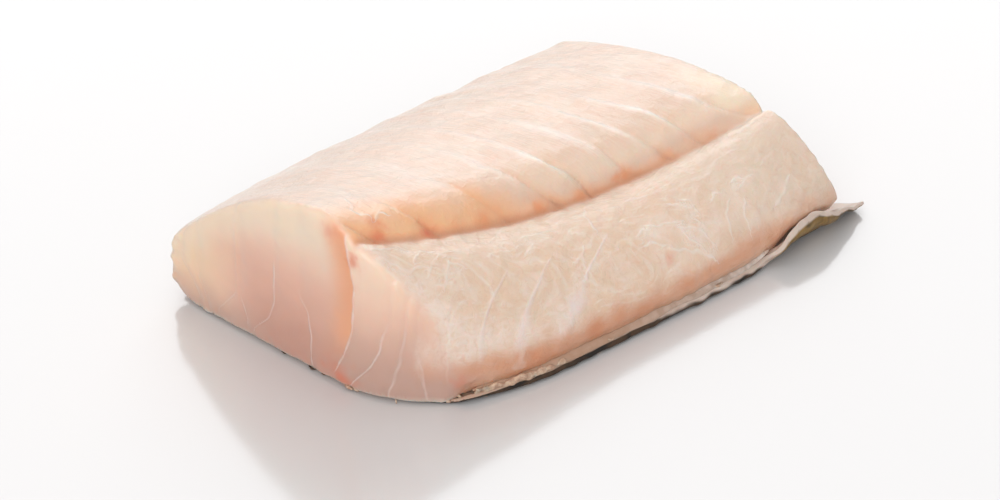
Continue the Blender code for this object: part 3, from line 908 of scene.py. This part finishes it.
rim = np.clip(step(sy, -35.5, -39.0) + step(sx, 54.0, 58.0), 0.0, 1.0)
wave = ripple(skin_places * np.array((1.0, 0.4, 0.4)), SKIN_WAVE_LENGTH, 20.0)
skin_shaped = skin_places + np.outer(rim * SKIN_WAVE * wave, (0.2, 1.0, 0.7))
flap = step(sx, 29.0, 37.0) * step(sx, 63.0, 54.0) * step(sy, -33.5, -37.5)
skin_shaped[:, 2] += FLAP_LIFT * flap
upright = step(sy, -34.0, -38.0) * step(sx, 36.0, 30.0)
skin_shaped[:, 1] += upright * (LIP_IN * step(sz, 0.8, 2.2) - FOOT_OUT * step(sz, 1.4, 0.4))
under_arch = step(sx, 31.0, 37.0) * step(sx, 58.0, 50.0) * step(sy, -31.0, -34.5)
skin_shaped[:, 1] -= ARCH_OUT * under_arch * step(sz, 3.6, 1.2)
skin_shaped[:, 2] += ARCH_UP * step(sx, 34.0, 39.0) * step(sx, 52.0, 44.0) * step(sy, -35.0, -37.5)
skin_shaped[:, 1] -= FLAP_WIDER * step(sx, 43.0, 50.0) * step(sx, 63.0, 58.0) * step(sy, -36.0, -38.5)
skin_shaped[:, 0] += SKIN_HIDDEN * step(sx - near_cut_x(sy), 6.0, 0.5) * step(sy, -36.0, -30.0)
over_arch = step(sx, 33.0, 41.0) * step(sx, 55.0, 47.0)
skin_shaped[:, 2] += ARCH_LIFT * over_arch * step(sy, -33.5, -37.0) * step(sz, 1.0, 3.0)
skin_shaped[:, 2] = np.maximum(skin_shaped[:, 2], 0.0)
write_points(skin.data, skin_shaped)
skin.data.shade_smooth()
print("furthest push:", round(float(np.linalg.norm(skin_shaped - skin_places, axis=1).max()), 2), "mm")

# %% Mark the outer side of the skin, dark along the foot partly as painted shade, and its golden part, brown below as painted shade
# Up to this height along the foot the skin's outer side shows dark: partly the brown skin, partly painted
# shade under the tissue.
DARK_SKIN_AND_SHADE_LINE = ((-60.0, 0.8), (-52.0, 1.6), (-47.0, 2.2), (-36.0, 2.3), (-8.0, 2.1), (4.0, 1.4), (60.0, 0.9))

on_flap = step(sx, 30.0, 36.0)
line_height = np.interp(sx, *zip(*DARK_SKIN_AND_SHADE_LINE)) + 0.5 * ripple(skin_places, 2.5, 35.0)
dark_skin_and_shade_below = np.maximum(step(skin_shaped[:, 2] - line_height, 0.3, -0.3), on_flap)
skin_outer = step(-skin_normals[:, 2] - 0.55 * skin_normals[:, 1], -0.1, 0.25) * dark_skin_and_shade_below
write_mask(skin.data, "outer", skin_outer)
# On the flap the skin turns gold only above 0.8 to 2.2 mm; below that it stays brown as painted shade in the
# hollow under the arch.
write_mask(skin.data, "gold_above_shade", on_flap * step(skin_shaped[:, 2], 0.8, 2.2))
print("share of the skin that is its outer side:", round(float((skin_outer > 0.5).mean()), 2))

# %% [markdown]
# ## Wet cod skin
#
# Cod skin is dull when it is wiped: tiny scales of about a millimetre scatter the light, and a
# thin coat of slime gives it a faint shine. Dark pigment lies in blotches of some millimetres.
# A cell texture makes the scales and a cloudy one the blotches.

# %% Skin material
SCALE = 1.3
MOTTLE = 5.0

skin_finish, tree, shader = new_material("wet_cod_skin")
outer = add_node(tree, "Attribute", {}, 2, attribute_name="outer")
in_mm = add_node(tree, "VectorMath", {0: add_node(tree, "TexCoord", {}, 3), 1: (1000.0,) * 3},
                 operation="MULTIPLY")
mottle = add_node(tree, "TexNoise", {
    "Vector": in_mm, "Scale": 1.0 / MOTTLE, "Detail": 4.0, "Distortion": 0.8})
scales = add_node(tree, "TexVoronoi", {"Vector": in_mm, "Scale": 1.0 / SCALE})
dark = add_node(tree, "MapRange", {0: mottle, 1: 0.42, 2: 0.6})
along = add_node(tree, "SeparateXYZ", {0: in_mm})
near_end = add_node(tree, "MapRange", {0: along, 1: 10.0, 2: -20.0, 3: 0.0, 4: 0.65})
gold_above_shade = add_node(tree, "Attribute", {}, 2, attribute_name="gold_above_shade")
brown, gold, silver = (
    add_node(tree, "Mix", {0: blend, 6: linear(pale), 7: linear(deep_tone)}, 2, data_type="RGBA")
    for blend, pale, deep_tone in ((dark, "#4b3624", "#20170f"), (dark, "#94733c", "#4f3d22"),
                                   (mottle, "#e2d3c8", "#bda493")))
# Brown where the gold mask is low, which on the flap is painted shade under the arch.
outer_side = add_node(tree, "Mix", {0: gold_above_shade, 6: brown, 7: gold}, 2, data_type="RGBA")
inner_side = tint(tree, silver, ((near_end, "#b89379"),))
colour = add_node(tree, "Mix", {0: outer, 6: inner_side, 7: outer_side}, 2, data_type="RGBA")
tree.links.new(colour, shader.inputs["Base Color"])
bump = add_node(tree, "Bump", {"Height": scales, "Strength": 0.4, "Distance": 0.2 * MM})
tree.links.new(bump, shader.inputs["Normal"])
shader.inputs["Roughness"].default_value = 0.45
shader.inputs["IOR"].default_value = 1.4
shader.inputs["Subsurface Weight"].default_value = 0.15
shader.inputs["Subsurface Scale"].default_value = 1.0 * MM
shader.inputs["Coat Weight"].default_value = 0.12
shader.inputs["Coat Roughness"].default_value = 0.2
skin.data.materials.clear()
skin.data.materials.append(skin_finish)
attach(skin, "root")
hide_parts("skin")
print("finished", skin.name, "in", skin_finish.name)

# %% [markdown]
# ## Loose tissue
#
# A knife never leaves fish quite clean. A lumpy cord of pale under-skin shows between the
# flesh and the skin's rim, torn shreds fringe the foot, and scraps of skin stick out under
# the cut. A curve with a bevel would be as even as a pipe. Here a strand is a sphere with
# many rings whose rings are moved along a route: it is closed and tapers at both ends by
# itself, and a ripple makes it lumpy.

# %% Lay strands along routes
def follow(route, share):
    """Points of a soft curve through a few places, at shares from 0 to 1 of its length."""
    route = np.array(route, dtype=float)
    length = np.concatenate(([0.0], np.cumsum(np.linalg.norm(np.diff(route, axis=0), axis=1))))
    length /= length[-1]
    if len(route) <= 4:
        return np.stack([np.polyval(np.polyfit(length, c, len(route) - 1), share) for c in route.T], axis=1)
    return np.stack([np.interp(share, length, c) for c in route.T], axis=1)


def add_strand(bm, route, radius, seed, rings, sides=6, lumps=0.3, lump_size=2.0, flat=1.0, lean=0.0):
    """Adds one closed, tapering strand to a bmesh. Flat is its height over its width."""
    verts = bmesh.ops.create_uvsphere(bm, u_segments=sides, v_segments=rings, radius=1.0)["verts"]
    local = np.array([v.co for v in verts])
    polar = np.arccos(np.clip(local[:, 2], -1.0, 1.0))
    share = polar / math.pi
    taper = np.clip(np.sin(polar), 0.0, 1.0) ** 0.45
    round_angle = np.arctan2(local[:, 1], local[:, 0])
    centre = follow(route, share)
    ahead = follow(route, np.clip(share + 0.01, 0.0, 1.0)) - follow(route, np.clip(share - 0.01, 0.0, 1.0))
    ahead /= np.linalg.norm(ahead, axis=1)[:, None]
    side = np.cross(ahead, (0.0, 0.0, 1.0))
    side /= np.linalg.norm(side, axis=1)[:, None]
    top = np.cross(side, ahead)
    around = side * np.cos(round_angle)[:, None] + (top * flat - side * lean) * np.sin(round_angle)[:, None]
    skin_of_strand = centre + around * (radius * taper)[:, None]
    lump = 1.0 + lumps * ripple(skin_of_strand, lump_size, seed)
    placed = centre + around * (radius * taper * lump)[:, None]
    for vert, place in zip(verts, placed):
        vert.co = place * MM


def finish_piece(bm, name, material):
    """Turns a bmesh into a smooth piece that rides with the portion."""
    bmesh.ops.recalc_face_normals(bm, faces=bm.faces)
    mesh = bpy.data.meshes.new(name)
    bm.to_mesh(mesh)
    bm.free()
    mesh.shade_smooth()
    mesh.materials.append(material)
    piece = bpy.data.objects.new(name, mesh)
    scene.collection.objects.link(piece)
    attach(piece, "root")
    print(name, "has", len(mesh.polygons), "faces")


# %% [markdown]
# ## Connective tissue
#
# The tissue between skin and flesh is a wet mesh of collagen, silvery and a little
# see-through, with fat and brown muscle caught in it towards the thick end. So its colour
# swaps between two tones over 1 to 3 mm, light enters it, and a soft bump makes it lumpy.

# %% Tissue material
def tissue_material(name, pale, warm, size, lumpy, near_end=None):
    """Tissue between two tones that swap over a size in millimetres, maybe tinted at the near end."""
    material, tree, shader = new_material(name)
    in_mm = add_node(tree, "VectorMath", {0: add_node(tree, "TexCoord", {}, 3), 1: (1000.0,) * 3},
                     operation="MULTIPLY")
    cloud = add_node(tree, "TexNoise", {"Vector": in_mm, "Scale": 1.0 / size, "Detail": 3.0})
    share = add_node(tree, "MapRange", {0: cloud, 1: 0.38, 2: 0.62})
    colour = add_node(tree, "Mix", {0: share, 6: linear(pale), 7: linear(warm)}, 2, data_type="RGBA")
    if near_end:
        along = add_node(tree, "SeparateXYZ", {0: in_mm})
        near = add_node(tree, "MapRange", {0: along, 1: 24.0, 2: -12.0, 3: 0.0, 4: 0.85})
        colour = tint(tree, colour, ((near, near_end),))
    bump = add_node(tree, "Bump", {"Height": cloud, "Strength": lumpy, "Distance": 0.4 * MM})
    tree.links.new(colour, shader.inputs["Base Color"])
    tree.links.new(bump, shader.inputs["Normal"])
    shader.inputs["Roughness"].default_value = 0.3
    shader.inputs["IOR"].default_value = 1.38
    shader.inputs["Subsurface Weight"].default_value = 0.5
    shader.inputs["Subsurface Radius"].default_value = (1.0, 0.7, 0.6)
    shader.inputs["Subsurface Scale"].default_value = 1.0 * MM
    shader.inputs["Coat Weight"].default_value = 0.4
    shader.inputs["Coat Roughness"].default_value = 0.2
    return material


under_skin_finish = tissue_material(
    "silvery_under_skin", "#dccbc0", "#bda798", 2.4, 0.35, near_end="#bd9478")
film_finish = tissue_material("torn_film", "#dcbea4", "#b5907a", 1.2, 0.6)
torn_skin_finish = tissue_material("torn_skin_bits", "#6b553f", "#3a2c22", 0.8, 0.6)
print("tissues:", under_skin_finish.name, film_finish.name, torn_skin_finish.name)

# %% [markdown]
# ## The cord of under-skin
#
# Where the skin turns up in front, the tissue that tied it to the flesh shows as a flat,
# lumpy band. Its route is measured on the skin's own rim, so it follows every wave, and is
# then evened out, because tissue is stiffer than skin.

# %% Lay the cord along the front
CORD_FROM_X = -46.0
CORD_TO_X = 35.0
CORD_STEP = 1.5
CORD_EVEN = 5
CORD_INSIDE = 1.35
CORD_ABOVE = 0.4
CORD_RADIUS = 0.95
CORD_FLAT = 1.3
CORD_LEAN = 0.6

rim_x, rim_y, rim_z = skin_shaped.T
cord_route = []
for at in np.arange(CORD_FROM_X, CORD_TO_X, CORD_STEP):
    near = np.flatnonzero(np.abs(rim_x - at) < 1.6)
    edge = near[rim_y[near] < rim_y[near].min() + 0.8]
    cord_route.append((at, rim_y[edge].mean() + CORD_INSIDE, rim_z[edge].max() + CORD_ABOVE))
even = np.ones(CORD_EVEN) / CORD_EVEN
cord_route = np.stack([np.convolve(np.pad(c, CORD_EVEN // 2, mode="edge"), even, "valid")
                       for c in np.array(cord_route).T], axis=1)
bm = bmesh.new()
add_strand(bm, cord_route, CORD_RADIUS, 31.0, rings=480, sides=20, lumps=0.45, lump_size=7.0, flat=CORD_FLAT,
           lean=CORD_LEAN)
finish_piece(bm, "under_skin_cord", under_skin_finish)

# %% [markdown]
# ## Shreds and scraps
#
# The knife tore the tissue by the near corner into a ragged band, and left small shreds along
# the foot, most of them near the cut. Their places are drawn by chance from one seed, so they
# come out the same each time. The few that stand out below the cut are placed one by one.

# %% Shreds along the foot
TORN_SHARE = 0.3
TORN_OUT = 0.55
TORN_DOWN = 0.25
TORN_RADIUS = 0.62
SHREDS = 42
SHRED_SEED = 11
SHRED_RADIUS = (0.2, 0.5)
CUT_SHREDS = (
    (((-59.7, -13.2, 1.6), (-60.4, -14.3, 1.0), (-60.0, -15.6, 0.6)), 0.45),
    (((-59.5, -15.0, 1.2), (-59.9, -16.0, 0.7), (-59.5, -16.8, 0.5)), 0.3),
    (((-56.2, -23.8, 1.4), (-56.7, -24.3, 0.8), (-56.9, -24.7, 0.25)), 0.14),
    (((-49.7, -30.4, 1.8), (-49.8, -31.1, 1.0), (-48.9, -31.7, 0.6)), 0.4),
    (((-47.9, -31.2, 2.2), (-47.5, -32.0, 1.4), (-46.8, -32.6, 0.9)), 0.35),
)

chance = random.Random(SHRED_SEED)
bm = bmesh.new()
torn_route = follow(cord_route, np.linspace(0.0, TORN_SHARE, 16)) - np.array((0.0, TORN_OUT, TORN_DOWN))
add_strand(bm, torn_route, TORN_RADIUS, 51.0, rings=240, sides=14, lumps=0.8, lump_size=1.7, flat=1.5)
for number in range(SHREDS):
    at = chance.uniform(0.0, 1.0) ** 2.2 * 0.8
    x0, y0, z0 = follow(cord_route, np.array([at]))[0]
    x1, y1, z1 = follow(cord_route, np.array([at + chance.uniform(0.012, 0.03)]))[0]
    low = chance.uniform(-1.3, 0.6)
    route = ((x0, y0 - 0.5, z0 + low), ((x0 + x1) / 2, y0 - 0.75, z0 + low - chance.uniform(0.0, 0.5)),
             (x1, y1 - 0.4, max(z1 + low + chance.uniform(-0.6, 0.3), 0.4)))
    add_strand(bm, route, chance.uniform(*SHRED_RADIUS), 60.0 + number, rings=12, lumps=0.6, lump_size=0.9,
               flat=0.6)
for number, (route, radius) in enumerate(CUT_SHREDS):
    add_strand(bm, route, radius, 200.0 + number, rings=14, lumps=0.8, lump_size=0.7)
finish_piece(bm, "foot_shreds", film_finish)

# %% Dark scraps of skin under the cut
SKIN_BITS = (
    (((-61.2, 4.6, 0.8), (-61.6, 4.1, 0.6), (-61.5, 3.0, 0.4)), 0.25),
    (((-60.6, -3.2, 0.8), (-61.1, -3.9, 0.6), (-60.8, -5.4, 0.4)), 0.3),
    (((-60.5, -6.5, 0.7), (-60.8, -7.1, 0.5), (-60.6, -8.0, 0.4)), 0.18),
    (((-47.2, -31.3, 1.2), (-47.0, -32.1, 0.8), (-46.2, -32.7, 0.6)), 0.5),
)

bm = bmesh.new()
for number, (route, radius) in enumerate(SKIN_BITS):
    add_strand(bm, route, radius, 300.0 + number, rings=10, lumps=0.7, lump_size=0.6, flat=0.5)
finish_piece(bm, "skin_bits", torn_skin_finish)

# %% [markdown]
# ## Floor and light
#
# Food is shot on a white glossy sheet under big soft lamps. The one above gives even light,
# the one behind lights the sheet to white and draws the wet glints along the flakes, and a
# weaker one in front fills the cut and the lobe. Disks are used, as their highlights are as
# soft and round as a softbox's.

# %% Lay the floor
bm = bmesh.new()
bmesh.ops.create_grid(bm, x_segments=1, y_segments=1, size=3.0)
mesh = bpy.data.meshes.new("floor")
bm.to_mesh(mesh)
bm.free()
floor = bpy.data.objects.new("floor", mesh)
scene.collection.objects.link(floor)
floor_finish, tree, shader = new_material("white_glossy_sheet")
shader.inputs["Base Color"].default_value = linear("#dcdada")
shader.inputs["Roughness"].default_value = 0.14
shader.inputs["IOR"].default_value = 2.0
mesh.materials.append(floor_finish)
print("floor in", floor_finish.name)

# %% Hang the lamps and light the room: name, place, width in metres, power in watts
LAMPS = (
    ("lamp_above", (-0.10, 0.05, 0.95), 0.9, 0.9),
    ("lamp_behind", (0.76, 0.82, 0.67), 1.2, 6.2),
    ("lamp_in_front", (-0.75, -0.55, 0.55), 0.7, 3.9),
)
for name, location, size, power in LAMPS:
    lamp = bpy.data.lights.new(name, "AREA")
    lamp.shape = "DISK"
    lamp.size = size
    lamp.energy = power
    holder = bpy.data.objects.new(name, lamp)
    holder.location = location
    holder.rotation_euler = Vector(location).to_track_quat("Z", "Y").to_euler()
    scene.collection.objects.link(holder)

world = bpy.data.worlds.new("white_studio")
world.use_nodes = True
world.node_tree.nodes["Background"].inputs["Color"].default_value = (1.0, 1.0, 1.0, 1.0)
world.node_tree.nodes["Background"].inputs["Strength"].default_value = 0.62
scene.world = world
scene.view_settings.view_transform = "Standard"
print("lamps:", ", ".join(name for name, *_ in LAMPS))
